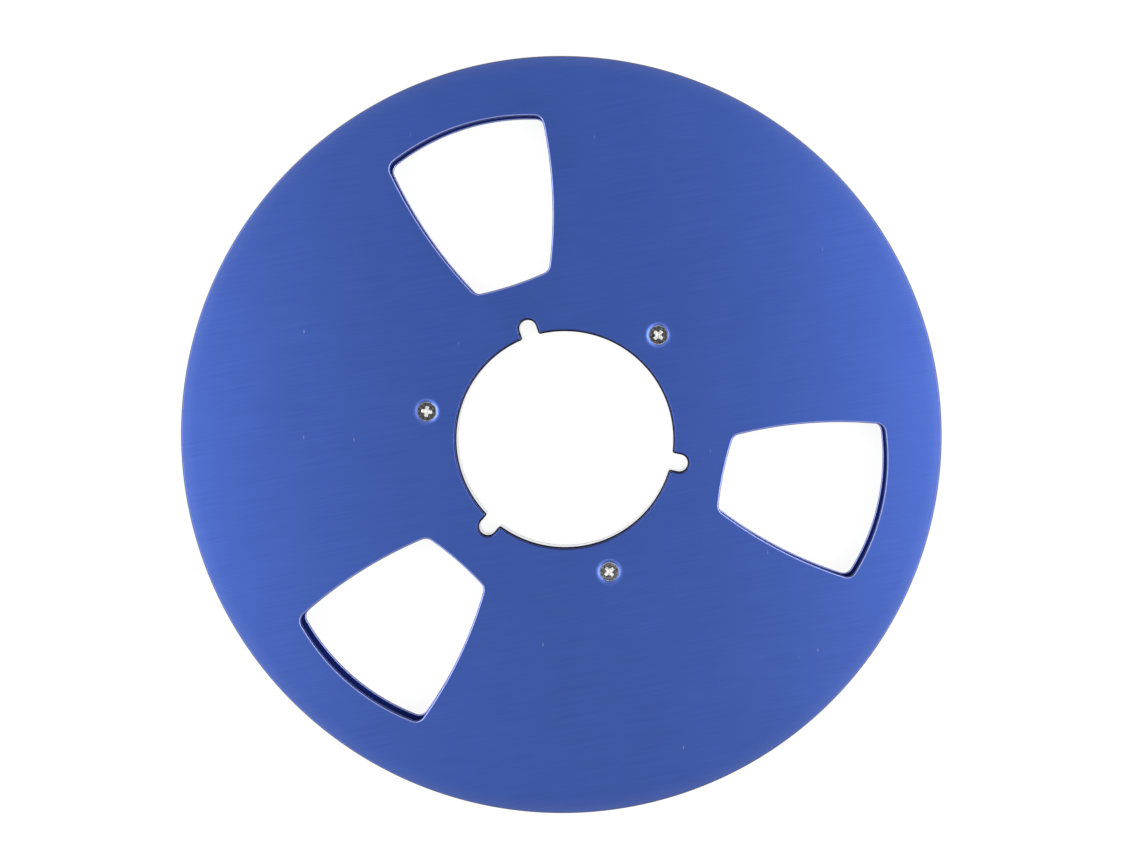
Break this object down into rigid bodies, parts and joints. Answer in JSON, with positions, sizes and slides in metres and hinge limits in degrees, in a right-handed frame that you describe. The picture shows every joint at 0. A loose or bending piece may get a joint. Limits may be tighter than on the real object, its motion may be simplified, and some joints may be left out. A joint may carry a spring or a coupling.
{
  "type": "open-reel tape reel",
  "caption": "Flat round tape reel with two blue window-cut metal flanges screwed to a keyed hub ring.",
  "frame": {"origin": "on the reel's turning axis, at the rear flange's outer face", "axes": "+Z along the turning axis from the rear flange to the front one; +Y through one key slot and the window over it"},
  "size_m": [0.2666, 0.2666, 0.01],
  "materials": {
    "blue_anodised": "blue anodised, straight brushed",
    "hub_aluminium": "bare, fine turned",
    "screw_steel": "plated steel, polished"
  },
  "bodies": {
    "root": {"front_flange": "blue_anodised", "rear_flange": "blue_anodised", "hub": "hub_aluminium", "front_screw_1": "screw_steel", "front_screw_2": "screw_steel", "front_screw_3": "screw_steel", "rear_screw_1": "screw_steel", "rear_screw_2": "screw_steel", "rear_screw_3": "screw_steel"}
  },
  "joints": []
}
